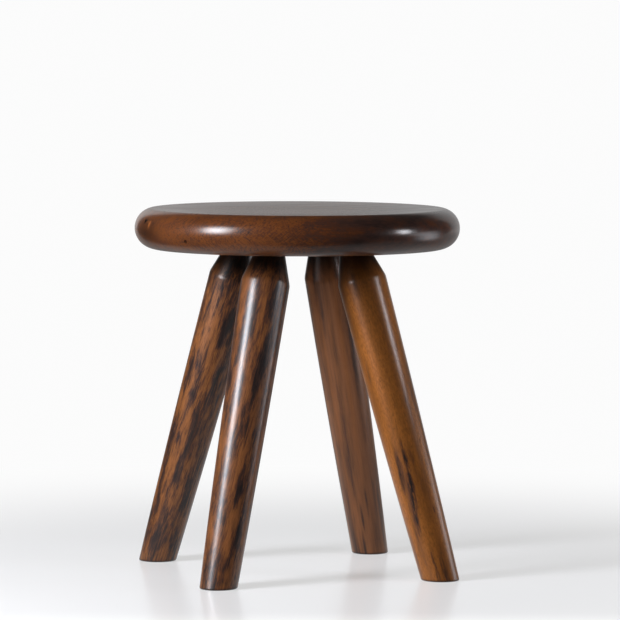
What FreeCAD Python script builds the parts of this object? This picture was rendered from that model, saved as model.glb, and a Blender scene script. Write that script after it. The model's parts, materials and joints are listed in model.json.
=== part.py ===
"""Wooden stool: a dished round seat on four splayed, turned legs with wedged blind tenons.

Millimetres. The origin is on the floor under the seat's centre, +Z is up and the front is -Y.
Each leg is drawn upright on its own turning axis, whose zero is where that axis meets the
underside of the seat, and its placement then leans it into the seat.
"""
import FreeCAD
import Part
import math
import os
import Sketcher

SIZES = [
    ("total_height", 450.0, "floor to the crest of the seat rim"),
    ("seat_diameter", 402.0, "at the widest girth of the rounded edge"),
    ("seat_thickness", 49.0, "crest of the rim to the flat underside"),
    ("girth_height", 25.0, "widest girth above the underside"),
    ("rim_diameter", 364.0, "crest between the dish and the rounded edge"),
    ("underside_diameter", 360.0, "flat underside"),
    ("dish_depth", 5.0, "middle of the dished top below the crest"),
    ("rim_round", 2.0, "softened crest"),
    ("underside_round", 3.0, "softened arris below"),
    ("foot_circle_diameter", 399.0, "leg axes at the floor"),
    ("mortise_circle_diameter", 154.0, "leg axes at the underside"),
    ("leg_twist", 2.8, "mortise ahead of its foot round the seat, degrees"),
    ("foot_diameter", 45.5, "leg at the floor"),
    ("middle_diameter", 54.5, "leg half way between shoulder and floor"),
    ("shoulder_diameter", 60.0, "leg at the shoulder"),
    ("neck_length", 40.0, "shoulder below the underside, along the axis"),
    ("neck_diameter", 36.0, "neck where it meets the seat"),
    ("shoulder_round", 8.0, "rounded shoulder"),
    ("foot_round", 2.0, "softened arris of the foot"),
    ("tenon_diameter", 32.0, "bore of the mortise"),
    ("glue_line", 0.1, "gap round the tenon"),
    ("mortise_depth", 32.0, "along the axis, from the underside"),
    ("tenon_relief", 1.0, "tenon short of the mortise floor"),
    ("wedge_length", 24.0, "along the leg axis"),
    ("wedge_width", 30.0, "across the tenon"),
    ("wedge_thick_end", 4.0, "end that bears on the mortise floor"),
    ("wedge_thin_end", 1.0, "leading edge in the saw cut"),
    ("saw_cut_relief", 1.0, "saw cut deeper than the wedge"),
    ("saw_cut_turn", 45.0, "from the leg's plane to across the seat's grain, degrees"),
    ("trim_allowance", 12.0, "turned blank beyond the planes that trim it"),
    ("trim_width", 120.0, "width and depth of a trimming cut"),
]

DERIVED = [
    ("underside_height", "=total_height - seat_thickness"),
    ("foot_radius", "=foot_circle_diameter / 2"),
    ("mortise_radius", "=mortise_circle_diameter / 2"),
    ("spread_out", "=foot_radius - mortise_radius * cos(leg_twist)"),
    ("spread_side", "=mortise_radius * sin(leg_twist)"),
    ("spread", "=sqrt(spread_out ^ 2 + spread_side ^ 2)"),
    ("lean_slope", "=spread / underside_height"),
    ("lean_angle", "=atan(lean_slope) / 1 deg"),
    ("plane_turn", "=atan(spread_side / spread_out) / 1 deg"),
    ("axis_length", "=sqrt(spread ^ 2 + underside_height ^ 2)"),
    ("tenon_length", "=mortise_depth - tenon_relief"),
    ("wedge_taper", "=(wedge_thick_end - wedge_thin_end) / wedge_length"),
]

LEGS = [
    ("back_right", 45.0, -1.0),
    ("back_left", 135.0, 1.0),
    ("front_left", 225.0, -1.0),
    ("front_right", 315.0, 1.0),
]

LEG_COUNT = 4
FULL_TURN = 360.0
SEAT_TURN = 45.0
ON_PLANE = 1e-4
VOLUME_SLACK = 0.02
EDGE_SAMPLES = 9

doc = FreeCAD.newDocument("stool")
os.makedirs("parts", exist_ok=True)

sheet = doc.addObject("Spreadsheet::Sheet", "sizes")
for row, (alias, value, note) in enumerate(SIZES, start=1):
    sheet.set(f"A{row}", alias)
    sheet.set(f"B{row}", str(value))
    sheet.set(f"C{row}", note)
    sheet.setAlias(f"B{row}", alias)
doc.recompute()
for row, (alias, formula) in enumerate(DERIVED, start=len(SIZES) + 1):
    sheet.set(f"A{row}", alias)
    sheet.set(f"B{row}", formula)
    sheet.setAlias(f"B{row}", alias)
    doc.recompute()


def size(alias):
    """The present value of a named size."""
    return float(sheet.get(alias))


def new_body(label):
    """An empty body whose label is also its file name."""
    body = doc.addObject("PartDesign::Body", label)
    body.Label = label
    return body


def origin_part(body, role):
    """One of the body's own origin planes or axes."""
    for feature in body.Origin.OriginFeatures:
        if feature.Role == role:
            return feature
    raise RuntimeError(f"{body.Label} has no {role}")


def new_sketch(body, name, role="XZ_Plane"):
    """A sketch flat on one of the body's origin planes."""
    sketch = body.newObject("Sketcher::SketchObject", f"{body.Label}_{name}")
    sketch.AttachmentSupport = [(origin_part(body, role), "")]
    sketch.MapMode = "FlatFace"
    return sketch


def bind(sketch, kind, refs, name, expression, value):
    """A dimension of the sketch that follows the sheet."""
    index = sketch.addConstraint(Sketcher.Constraint(kind, *refs, value))
    sketch.renameConstraint(index, name)
    sketch.setExpression(f"Constraints.{name}", expression)


def polygon(sketch, points):
    """A closed run of straight lines through the points."""
    count = len(points)
    for i, (x, y) in enumerate(points):
        nx, ny = points[(i + 1) % count]
        start = FreeCAD.Vector(x, y, 0)
        end = FreeCAD.Vector(nx, ny, 0)
        sketch.addGeometry(Part.LineSegment(start, end), False)
    for i in range(count):
        sketch.addConstraint(Sketcher.Constraint("Coincident", i, 2, (i + 1) % count, 1))


def place_point(sketch, line, name, x, y):
    """Bind the start of a polygon's line to a pair of (expression, value)."""
    bind(sketch, "DistanceX", (-1, 1, line, 1), f"{name}_across", *x)
    bind(sketch, "DistanceY", (-1, 1, line, 1), f"{name}_up", *y)


def turned(body, kind, name, sketch):
    """Revolve a sketch a full turn about its vertical axis."""
    feature = body.newObject(kind, f"{body.Label}_{name}")
    feature.Profile = sketch
    feature.ReferenceAxis = (sketch, ["V_Axis"])
    feature.Angle = FULL_TURN
    return feature


def cut_across(body, name, sketch):
    """Cut a sketch out of the body, to both sides of the sketch."""
    before = body.Tip.Shape.Volume
    feature = body.newObject("PartDesign::Pocket", f"{body.Label}_{name}")
    feature.Profile = sketch
    feature.Midplane = True
    feature.setExpression("Length", "sizes.trim_width")
    doc.recompute()
    if feature.Shape.Volume >= before:
        raise RuntimeError(f"{feature.Name} cuts nothing")
    return feature


def edges_where(shape, test):
    """Names of the edges that lie wholly where the test holds."""
    names = []
    for number, edge in enumerate(shape.Edges, start=1):
        if edge.Degenerated:
            continue
        points = edge.discretize(EDGE_SAMPLES)
        if all(test(point) for point in points):
            names.append(f"Edge{number}")
    if not names:
        raise RuntimeError("no edge to soften")
    return names


def soften(body, name, test, expression):
    """Round the edges that the test picks."""
    base = body.Tip
    feature = body.newObject("PartDesign::Fillet", f"{body.Label}_{name}")
    feature.Base = (base, edges_where(base.Shape, test))
    feature.setExpression("Radius", expression)
    doc.recompute()
    return feature


def arc(centre, radius, first, last):
    """Anticlockwise arc of a circle from one direction to another, seen from its centre."""
    circle = Part.Circle(centre, FreeCAD.Vector(0, 0, 1), radius)
    return Part.ArcOfCircle(circle, math.atan2(first.y, first.x), math.atan2(last.y, last.x))


def leg_frame(azimuth):
    """Placement, as an expression, that leans an upright leg into the seat at this azimuth."""
    base = (
        f"vector(sizes.mortise_radius * cos({azimuth} + sizes.leg_twist); "
        f"sizes.mortise_radius * sin({azimuth} + sizes.leg_twist); sizes.underside_height)"
    )
    turn = f"rotation(vector(0; 0; 1); {azimuth} - sizes.plane_turn)"
    lean = "rotation(vector(0; 1; 0); -sizes.lean_angle)"
    return f"placement({base}; {turn} * {lean})"


def shifted(placement, up, turn):
    """The placement moved along its own axis and turned about it."""
    return f"{placement} * placement(vector(0; 0; {up}); rotation(vector(0; 0; 1); {turn}))"


def make_seat():
    """Turned seat: dished top, rounded edge, flat underside, four angled blind mortises."""
    body = new_body("seat")
    girth = size("seat_diameter") / 2
    rim = size("rim_diameter") / 2
    flat = size("underside_diameter") / 2
    top = size("total_height")
    base = size("underside_height")
    girth_up = base + size("girth_height")
    dish = top - size("dish_depth")

    crest = size("rim_round")
    arris = size("underside_round")

    def bullnose(reach, rise, small):
        """Radius of an arc that leaves the girth upright and runs into a small tangent round."""
        return (reach ** 2 + (rise - small) ** 2 - small ** 2) / (2 * (reach - small))

    upper_radius = bullnose(girth - rim, top - girth_up, crest)
    lower_radius = bullnose(girth - flat, girth_up - base, arris)
    dish_radius = (rim ** 2 + (top - dish - crest) ** 2 - crest ** 2) / (2 * (top - dish))
    upper_centre = FreeCAD.Vector(girth - upper_radius, girth_up, 0)
    lower_centre = FreeCAD.Vector(girth - lower_radius, girth_up, 0)
    dish_centre = FreeCAD.Vector(0, dish + dish_radius, 0)
    crest_centre = FreeCAD.Vector(rim, top - crest, 0)
    arris_centre = FreeCAD.Vector(flat, base + arris, 0)
    down = FreeCAD.Vector(0, -1, 0)
    out = FreeCAD.Vector(1, 0, 0)
    arris_end = arris_centre - lower_centre
    crest_start = crest_centre - upper_centre
    crest_end = dish_centre - crest_centre
    axis_top = FreeCAD.Vector(0, dish, 0)
    axis_low = FreeCAD.Vector(0, base, 0)
    flat_end = FreeCAD.Vector(flat, base, 0)

    sketch = new_sketch(body, "half_section")
    axis_line, under_line, arris_arc, lower_arc, upper_arc, crest_arc, dish_arc = range(7)
    sketch.addGeometry(Part.LineSegment(axis_top, axis_low), False)
    sketch.addGeometry(Part.LineSegment(axis_low, flat_end), False)
    sketch.addGeometry(arc(arris_centre, arris, down, arris_end), False)
    sketch.addGeometry(arc(lower_centre, lower_radius, arris_end, out), False)
    sketch.addGeometry(arc(upper_centre, upper_radius, out, crest_start), False)
    sketch.addGeometry(arc(crest_centre, crest, crest_start, crest_end), False)
    sketch.addGeometry(arc(dish_centre, dish_radius, down, crest_end * -1), False)
    join = [
        ("Coincident", axis_line, 2, under_line, 1),
        ("Tangent", under_line, 2, arris_arc, 1),
        ("Tangent", arris_arc, 2, lower_arc, 1),
        ("Tangent", lower_arc, 2, upper_arc, 1),
        ("Tangent", upper_arc, 2, crest_arc, 1),
        ("Tangent", crest_arc, 2, dish_arc, 2),
        ("Coincident", dish_arc, 1, axis_line, 1),
        ("PointOnObject", axis_line, 1, -2),
        ("PointOnObject", axis_line, 2, -2),
        ("PointOnObject", dish_arc, 3, -2),
        ("Horizontal", under_line),
        ("Horizontal", lower_arc, 3, lower_arc, 2),
    ]
    for entry in join:
        sketch.addConstraint(Sketcher.Constraint(*entry))
    bind(sketch, "DistanceY", (-1, 1, axis_line, 2), "underside_up", "sizes.underside_height", base)
    bind(sketch, "DistanceX", (-1, 1, under_line, 2), "flat_out", "sizes.underside_diameter / 2", flat)
    bind(sketch, "Radius", (arris_arc,), "arris_round", "sizes.underside_round", arris)
    bind(sketch, "DistanceX", (-1, 1, lower_arc, 2), "girth_out", "sizes.seat_diameter / 2", girth)
    bind(sketch, "DistanceY", (axis_line, 2, lower_arc, 2), "girth_up", "sizes.girth_height", girth_up - base)
    bind(sketch, "DistanceX", (-1, 1, crest_arc, 3), "rim_out", "sizes.rim_diameter / 2", rim)
    bind(
        sketch, "DistanceY", (-1, 1, crest_arc, 3), "rim_up",
        "sizes.total_height - sizes.rim_round", top - crest,
    )
    bind(sketch, "Radius", (crest_arc,), "crest_round", "sizes.rim_round", crest)
    bind(
        sketch, "DistanceY", (-1, 1, axis_line, 1), "dish_up",
        "sizes.total_height - sizes.dish_depth", dish,
    )
    turned(body, "PartDesign::Revolution", "disc", sketch)
    doc.recompute()

    before = body.Tip.Shape.Volume
    bore = body.newObject("PartDesign::SubtractiveCylinder", "seat_mortise")
    bore.AttachmentSupport = [(origin_part(body, "XY_Plane"), "")]
    bore.MapMode = "FlatFace"
    bore.setExpression("Radius", "sizes.tenon_diameter / 2")
    bore.setExpression("Height", "sizes.mortise_depth + sizes.trim_allowance")
    bore.setExpression("AttachmentOffset", shifted(leg_frame(0.0), "-sizes.trim_allowance", 0.0))
    doc.recompute()
    pattern = body.newObject("PartDesign::PolarPattern", "seat_mortises")
    pattern.Originals = [bore]
    pattern.Axis = (origin_part(body, "Z_Axis"), [""])
    pattern.Angle = FULL_TURN
    pattern.Occurrences = LEG_COUNT
    body.Tip = pattern
    doc.recompute()
    one = before - bore.Shape.Volume
    four = before - pattern.Shape.Volume
    if abs(four - LEG_COUNT * one) > VOLUME_SLACK * four or one <= 0:
        raise RuntimeError("the mortises are not four alike")
    body.Placement = FreeCAD.Placement(
        FreeCAD.Vector(0, 0, 0), FreeCAD.Rotation(FreeCAD.Vector(0, 0, 1), SEAT_TURN)
    )
    return body


def make_leg(name, azimuth, saw_side):
    """Turned leg with a swelling outline, trimmed to seat and floor, and a saw-cut tenon."""
    body = new_body(f"leg_{name}")
    slope = size("lean_slope")
    length = size("axis_length")
    allowance = size("trim_allowance")
    shoulder = (size("shoulder_diameter") / 2, -size("neck_length"))
    middle = (size("middle_diameter") / 2, -(size("neck_length") + length) / 2)
    foot = (size("foot_diameter") / 2, -length)
    neck = size("neck_diameter") / 2
    neck_top = neck - (shoulder[0] - neck) * allowance / size("neck_length")
    vector = FreeCAD.Vector

    swell = Part.ArcOfCircle(vector(*shoulder, 0), vector(*middle, 0), vector(*foot, 0)).Circle
    low = -length - allowance
    low_out = swell.Center.x + math.sqrt(swell.Radius ** 2 - (low - swell.Center.y) ** 2)
    rounding = size("shoulder_round")
    corner = vector(*shoulder, 0)
    along = (vector(neck, 0, 0) - corner).normalize()
    inward = vector(-along.y, along.x, 0)
    offset = corner + inward * rounding - swell.Center
    drop = offset.dot(along)
    reach = math.sqrt(drop ** 2 - offset.dot(offset) + (swell.Radius - rounding) ** 2)
    round_centre = swell.Center + offset - along * (drop + reach)
    side_way = (round_centre - swell.Center).normalize()
    side_end = swell.Center + side_way * swell.Radius
    cone_start = round_centre - inward * rounding
    axis_top = vector(0, allowance, 0)
    axis_low = vector(0, low, 0)
    foot_corner = vector(low_out, low, 0)
    neck_corner = vector(neck_top, allowance, 0)

    sketch = new_sketch(body, "half_section")
    axis, bottom, side, turn_in, cone, lid = range(6)
    shoulder_mark, middle_mark, foot_mark, neck_mark = range(6, 10)
    sketch.addGeometry(Part.LineSegment(axis_top, axis_low), False)
    sketch.addGeometry(Part.LineSegment(axis_low, foot_corner), False)
    sketch.addGeometry(Part.ArcOfCircle(foot_corner, vector(*middle, 0), side_end), False)
    sketch.addGeometry(arc(round_centre, rounding, side_way, inward * -1), False)
    sketch.addGeometry(Part.LineSegment(cone_start, neck_corner), False)
    sketch.addGeometry(Part.LineSegment(neck_corner, axis_top), False)
    for mark in (shoulder, middle, foot, (neck, 0.0)):
        sketch.addGeometry(Part.Point(vector(*mark, 0)), True)
    join = [
        ("Coincident", axis, 2, bottom, 1),
        ("Coincident", bottom, 2, side, 1),
        ("Tangent", side, 2, turn_in, 1),
        ("Tangent", turn_in, 2, cone, 1),
        ("Coincident", cone, 2, lid, 1),
        ("Coincident", lid, 2, axis, 1),
        ("PointOnObject", axis, 1, -2),
        ("PointOnObject", axis, 2, -2),
        ("Horizontal", bottom),
        ("Horizontal", lid),
        ("PointOnObject", shoulder_mark, 1, side),
        ("PointOnObject", shoulder_mark, 1, cone),
        ("PointOnObject", middle_mark, 1, side),
        ("PointOnObject", foot_mark, 1, side),
        ("PointOnObject", neck_mark, 1, cone),
        ("PointOnObject", neck_mark, 1, -1),
    ]
    for entry in join:
        sketch.addConstraint(Sketcher.Constraint(*entry))
    bind(sketch, "DistanceY", (-1, 1, axis, 1), "lid_up", "sizes.trim_allowance", allowance)
    bind(
        sketch, "DistanceY", (axis, 2, -1, 1), "low_down",
        "sizes.axis_length + sizes.trim_allowance", -low,
    )
    marks = [
        (shoulder_mark, "shoulder", "sizes.neck_length", shoulder),
        (middle_mark, "middle", "(sizes.neck_length + sizes.axis_length) / 2", middle),
        (foot_mark, "foot", "sizes.axis_length", foot),
    ]
    for mark, title, depth, (mark_out, mark_up) in marks:
        bind(sketch, "DistanceX", (-1, 1, mark, 1), f"{title}_out", f"sizes.{title}_diameter / 2", mark_out)
        bind(sketch, "DistanceY", (mark, 1, -1, 1), f"{title}_down", depth, -mark_up)
    bind(sketch, "DistanceX", (-1, 1, neck_mark, 1), "neck_out", "sizes.neck_diameter / 2", neck)
    bind(sketch, "Radius", (turn_in,), "shoulder_round", "sizes.shoulder_round", rounding)
    turned(body, "PartDesign::Revolution", "turning", sketch)
    doc.recompute()

    def trim(title, depth_expression, depth, away):
        """Cut away what is beyond a plane parallel to the floor, on the side given by away."""
        half = size("trim_width") / 2
        cut = new_sketch(body, title)
        far = depth + away * half
        corners = [
            (-half, depth + half * slope),
            (half, depth - half * slope),
            (half, far - half * slope),
            (-half, far + half * slope),
        ]
        polygon(cut, corners)
        across = [
            ("-sizes.trim_width / 2", -half),
            ("sizes.trim_width / 2", half),
            ("sizes.trim_width / 2", half),
            ("-sizes.trim_width / 2", -half),
        ]
        beyond = "+" if away > 0 else "-"
        far_expression = f"{depth_expression} {beyond} sizes.trim_width / 2"
        rise = "sizes.trim_width / 2 * sizes.lean_slope"
        up = [
            (f"{depth_expression} + {rise}", corners[0][1]),
            (f"{depth_expression} - {rise}", corners[1][1]),
            (f"{far_expression} - {rise}", corners[2][1]),
            (f"{far_expression} + {rise}", corners[3][1]),
        ]
        for line in range(len(corners)):
            place_point(cut, line, f"corner_{line}", across[line], up[line])
        cut_across(body, f"{title}_cut", cut)

    trim("underside", "0", 0.0, 1.0)
    trim("floor", "-sizes.axis_length", -length, -1.0)

    def on_floor(point):
        return abs(point.z + length + point.x * slope) < ON_PLANE

    soften(body, "foot", on_floor, "sizes.foot_round")

    tenon = new_sketch(body, "tenon")
    radius = size("tenon_diameter") / 2 - size("glue_line")
    tenon_end = size("tenon_length")
    polygon(tenon, [(0, -allowance), (radius, -allowance), (radius, tenon_end), (0, tenon_end)])
    radius_expression = "sizes.tenon_diameter / 2 - sizes.glue_line"
    place_point(tenon, 0, "root", ("0", 0.0), ("-sizes.trim_allowance", -allowance))
    place_point(tenon, 1, "heel", (radius_expression, radius), ("-sizes.trim_allowance", -allowance))
    place_point(tenon, 2, "end", (radius_expression, radius), ("sizes.tenon_length", tenon_end))
    place_point(tenon, 3, "crown", ("0", 0.0), ("sizes.tenon_length", tenon_end))
    turned(body, "PartDesign::Revolution", "tenon_turning", tenon)
    doc.recompute()

    cut = new_sketch(body, "saw_cut")
    turn = f"{saw_side} * sizes.saw_cut_turn"
    cut.setExpression("AttachmentOffset", f"placement(vector(0; 0; 0); rotation(vector(0; 1; 0); {turn}))")
    outline_of_wedge(cut, "sizes.saw_cut_relief", size("saw_cut_relief"), "sizes.trim_allowance", allowance)
    cut_across(body, "saw_cut_pocket", cut)

    body.setExpression("Placement", leg_frame(azimuth))
    doc.recompute()
    return body


def outline_of_wedge(sketch, deeper_expression, deeper, higher_expression, higher):
    """Tapered outline of a wedge, drawn out along its taper below and above by the two lengths."""
    taper = size("wedge_taper")
    high = size("mortise_depth") + higher
    low = size("mortise_depth") - size("wedge_length") - deeper
    wide = (size("wedge_thick_end") + higher * taper) / 2
    narrow = (size("wedge_thin_end") - deeper * taper) / 2
    polygon(sketch, [(-narrow, low), (narrow, low), (wide, high), (-wide, high)])
    high_expression = f"sizes.mortise_depth + {higher_expression}"
    low_expression = f"sizes.mortise_depth - sizes.wedge_length - {deeper_expression}"
    wide_expression = f"(sizes.wedge_thick_end + {higher_expression} * sizes.wedge_taper) / 2"
    narrow_expression = f"(sizes.wedge_thin_end - {deeper_expression} * sizes.wedge_taper) / 2"
    place_point(sketch, 0, "tip_left", (f"-{narrow_expression}", -narrow), (low_expression, low))
    place_point(sketch, 1, "tip_right", (narrow_expression, narrow), (low_expression, low))
    place_point(sketch, 2, "head_right", (wide_expression, wide), (high_expression, high))
    place_point(sketch, 3, "head_left", (f"-{wide_expression}", -wide), (high_expression, high))


def make_wedge(name, azimuth, saw_side):
    """Hardwood wedge that spreads the tenon as the leg is driven against the mortise floor."""
    body = new_body(f"wedge_{name}")
    sketch = new_sketch(body, "outline")
    outline_of_wedge(sketch, "0", 0.0, "0", 0.0)
    pad = body.newObject("PartDesign::Pad", f"{body.Label}_pad")
    pad.Profile = sketch
    pad.Midplane = True
    pad.setExpression("Length", "sizes.wedge_width")
    doc.recompute()
    body.setExpression("Placement", shifted(leg_frame(azimuth), "0", f"{saw_side} * sizes.saw_cut_turn"))
    doc.recompute()
    return body


bodies = [make_seat()]
for leg_name, leg_azimuth, leg_saw_side in LEGS:
    bodies.append(make_leg(leg_name, leg_azimuth, leg_saw_side))
for leg_name, leg_azimuth, leg_saw_side in LEGS:
    bodies.append(make_wedge(leg_name, leg_azimuth, leg_saw_side))
doc.recompute()

for item in doc.Objects:
    if "Invalid" in item.State or "Error" in item.State:
        raise RuntimeError(f"{item.Name} did not compute: {item.State}")

for body in bodies:
    solid = body.Shape
    if solid.isNull() or not solid.isValid() or len(solid.Solids) != 1:
        raise RuntimeError(f"{body.Label} is not one valid solid")
    solid.exportStep(f"parts/{body.Label}.step")
    box = solid.optimalBoundingBox()
    print(
        f"{body.Label}: volume {solid.Volume / 1000:.1f} cm3, "
        f"x {box.XMin:.1f} to {box.XMax:.1f}, y {box.YMin:.1f} to {box.YMax:.1f}, "
        f"z {box.ZMin:.2f} to {box.ZMax:.2f}"
    )

for first in range(len(bodies)):
    for second in range(first + 1, len(bodies)):
        shared = bodies[first].Shape.common(bodies[second].Shape).Volume
        if shared > ON_PLANE:
            raise RuntimeError(f"{bodies[first].Label} and {bodies[second].Label} overlap by {shared}")
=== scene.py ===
"""Looks of the wooden stool, made round its solids.

Metres, in the frame of the solids: the origin is on the floor under the seat, +Z is up and the
front is -Y. The seat's grain runs along X, and each leg's grain along its own turning axis.
"""
import json
import math
from collections import namedtuple

import bmesh
import bpy
from bpy.props import FloatProperty, FloatVectorProperty, IntProperty, PointerProperty
from mathutils import Euler, Matrix, Vector


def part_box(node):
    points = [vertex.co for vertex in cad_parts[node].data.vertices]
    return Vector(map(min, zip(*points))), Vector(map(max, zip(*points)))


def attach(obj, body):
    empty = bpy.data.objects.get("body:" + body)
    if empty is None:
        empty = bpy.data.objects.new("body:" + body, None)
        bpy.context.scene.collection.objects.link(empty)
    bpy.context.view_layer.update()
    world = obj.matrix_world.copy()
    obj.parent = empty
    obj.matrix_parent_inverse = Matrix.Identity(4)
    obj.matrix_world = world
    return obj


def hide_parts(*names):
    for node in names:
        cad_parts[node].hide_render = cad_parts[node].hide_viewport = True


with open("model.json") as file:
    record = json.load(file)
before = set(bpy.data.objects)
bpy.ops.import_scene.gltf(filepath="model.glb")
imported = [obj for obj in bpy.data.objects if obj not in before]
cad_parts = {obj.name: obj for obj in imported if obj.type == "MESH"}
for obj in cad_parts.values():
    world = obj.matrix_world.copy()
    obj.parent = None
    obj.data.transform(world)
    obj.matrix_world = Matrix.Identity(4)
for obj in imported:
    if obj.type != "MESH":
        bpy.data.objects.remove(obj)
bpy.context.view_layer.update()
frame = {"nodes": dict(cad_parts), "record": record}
SEAT_LOW, SEAT_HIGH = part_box("seat")
FEET = {
    mount["name"].removeprefix("foot_"): Vector(mount["pos_m"])
    for mount in frame["record"]["mounts"]
}

bl_info = {
    "name": "Wooden stool",
    "version": (1, 0, 0),
    "blender": (4, 5, 0),
    "location": "3D View > Sidebar > Stool",
    "description": "Makes the looks of a turned wooden stool round its solids",
    "category": "Add Mesh",
}

MM = 0.001
BODY = "root"
SMOOTH_ANGLE = math.radians(28)
LENGTH_DIGITS = 4
FEWEST_STEPS = 3
STILL = (0.0, 0.0, 0.0)
PURE_WHITE = (1.0, 1.0, 1.0)

# Sizes and colours that a user may change


def setting(kind, **options):
    """A maker of settings of one kind."""

    def make(name, description, default):
        """One setting, with what it is and its default."""
        return kind(name=name, description=description, default=default, **options)

    return make


def angle(name, description, degrees):
    """An angle, given here in degrees."""
    turn = setting(FloatProperty, subtype="ANGLE", unit="ROTATION")
    return turn(name, description, math.radians(degrees))


# Lengths are in metres, colours in linear light, and a strength of 1 shows as white
length = setting(FloatProperty, precision=LENGTH_DIGITS, subtype="DISTANCE", unit="LENGTH")
colour = setting(FloatVectorProperty, min=0.0, max=1.0, size=3, subtype="COLOR")
count = setting(IntProperty, min=FEWEST_STEPS)
strength = setting(FloatProperty, min=0.0)
focal_length = setting(FloatProperty)


class StoolSeat(bpy.types.PropertyGroup):
    """Sizes of the turned seat."""

    girth_radius: length("Girth", "Widest radius of the rounded edge", SEAT_HIGH.x)
    crest_up: length("Crest height", "Crest of the rim above the floor", SEAT_HIGH.z)
    underside_up: length("Underside height", "Flat underside above the floor", SEAT_LOW.z)
    girth_up: length("Girth height", "Widest girth above the underside", 25 * MM)
    crest_radius: length("Crest radius", "Crest between the dish and the edge", 182 * MM)
    flat_radius: length("Flat radius", "Flat of the underside", 180 * MM)
    dish_depth: length("Dish", "Middle of the top below the crest", 5 * MM)
    crest_round: length("Crest round", "Softening of the crest", 2 * MM)
    arris_round: length("Arris round", "Softening of the lower arris", 3 * MM)
    mortise_radius: length("Mortise", "Radius of a leg's blind mortise", 16 * MM)
    mortise_depth: length("Mortise depth", "Depth along the leg's axis", 32 * MM)
    around: count("Around", "Steps round the seat", 256)


class StoolLegs(bpy.types.PropertyGroup):
    """Sizes of a turned leg, the same for all four."""

    mortise_circle: length("Mortise circle", "Leg axes from the seat's centre", 77 * MM)
    twist: angle("Twist", "Mortise ahead of its foot round the seat", 2.8)
    foot_radius: length("Foot", "Radius at the floor", 22.75 * MM)
    shoulder_radius: length("Shoulder", "Radius at the shoulder", 30 * MM)
    bulge: length("Swell", "Middle of the leg beyond a straight taper", 0.875 * MM)
    neck_radius: length("Neck", "Radius where the neck meets the seat", 18 * MM)
    neck_length: length("Neck length", "Shoulder below the seat, along the axis", 40 * MM)
    shoulder_blend: length("Shoulder blend", "Rounding of the shoulder", 1.2 * MM)
    foot_round: length("Foot round", "Softening of the foot's arris", 2 * MM)
    tenon_radius: length("Tenon", "Radius of the tenon", 15.9 * MM)
    tenon_length: length("Tenon length", "Tenon above the seat's underside", 31 * MM)
    cut_low: length("Saw cut foot", "Lowest point of the saw cut above the underside", 7 * MM)
    cut_high: length("Saw cut head", "Where the cut's taper is measured again", 44 * MM)
    cut_narrow: length("Saw cut, narrow", "Half width at its foot", 0.4375 * MM)
    cut_wide: length("Saw cut, wide", "Half width at its head", 2.75 * MM)
    cut_turn: angle("Saw cut turn", "From the leg's plane to across the seat's grain", 45.0)
    unevenness: length("Unevenness", "How far sanding by hand strays from true", 0.12 * MM)
    around: count("Around", "Steps round a leg", 96)
    rings: count("Rings", "Steps along a leg", 170)


class StoolWoods(bpy.types.PropertyGroup):
    """Colours of the woods, in linear light."""

    seat_red: colour("Seat red", "Red-brown wood of the seat", (0.089, 0.027, 0.0095))
    seat_amber: colour("Seat amber", "Lighter flecks of the seat", (0.121, 0.038, 0.010))
    seat_dark: colour("Seat dark", "Black-brown heartwood of the seat", (0.052, 0.024, 0.017))
    amber: colour("Amber", "Light ground of the streaked legs", (0.224, 0.081, 0.023))
    chestnut: colour("Chestnut", "Deeper ground of the streaked legs", (0.207, 0.074, 0.023))
    russet: colour("Russet", "Brown borders of the streaks", (0.118, 0.043, 0.017))
    umber: colour("Umber", "Dark brown of the streaks", (0.050, 0.023, 0.016))
    ebony: colour("Ebony", "Near-black hearts of the streaks", (0.018, 0.011, 0.010))
    golden: colour("Golden", "Golden-brown leg", (0.322, 0.109, 0.020))
    tawny: colour("Tawny", "Darker bands of the golden leg", (0.140, 0.050, 0.017))
    walnut: colour("Walnut", "Mid-brown leg", (0.212, 0.080, 0.029))
    dusk: colour("Dusk", "Dark lines of the mid-brown leg", (0.060, 0.028, 0.018))
    wedge_pale: colour("Wedge", "Bare pale hardwood", (0.450, 0.300, 0.170))


class StoolStudio(bpy.types.PropertyGroup):
    """Where the camera stands and how the studio is lit."""

    azimuth: angle("Azimuth", "Camera round the stool, from the front", -16.84)
    distance: length("Distance", "Camera from the stool's axis", 5.6638)
    height: length("Height", "Camera above the floor", 0.7297)
    pitch: angle("Pitch", "Camera below the horizon", 4.0985)
    yaw: angle("Yaw", "Camera turned to its right", 0.161)
    roll: angle("Roll", "Camera tipped to its left", 0.131)
    lens: focal_length("Lens", "Focal length in mm on a 36 mm frame", 266.41)
    key: strength("Key", "Soft box on the left", 43.0)
    wash: strength("Wash", "Wide soft light round the key", 0.6)
    strip: strength("Strip", "Narrow light on the right", 27.0)
    fill: strength("Fill", "Wide soft light on the right", 2.8)
    bounce: strength("Bounce", "Low reflector on the right", 3.2)
    ambient: strength("Ambient", "Even light from all round", 0.03)
    white: strength("White", "Backdrop as the camera sees it", 0.97)


# Nodes


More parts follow.
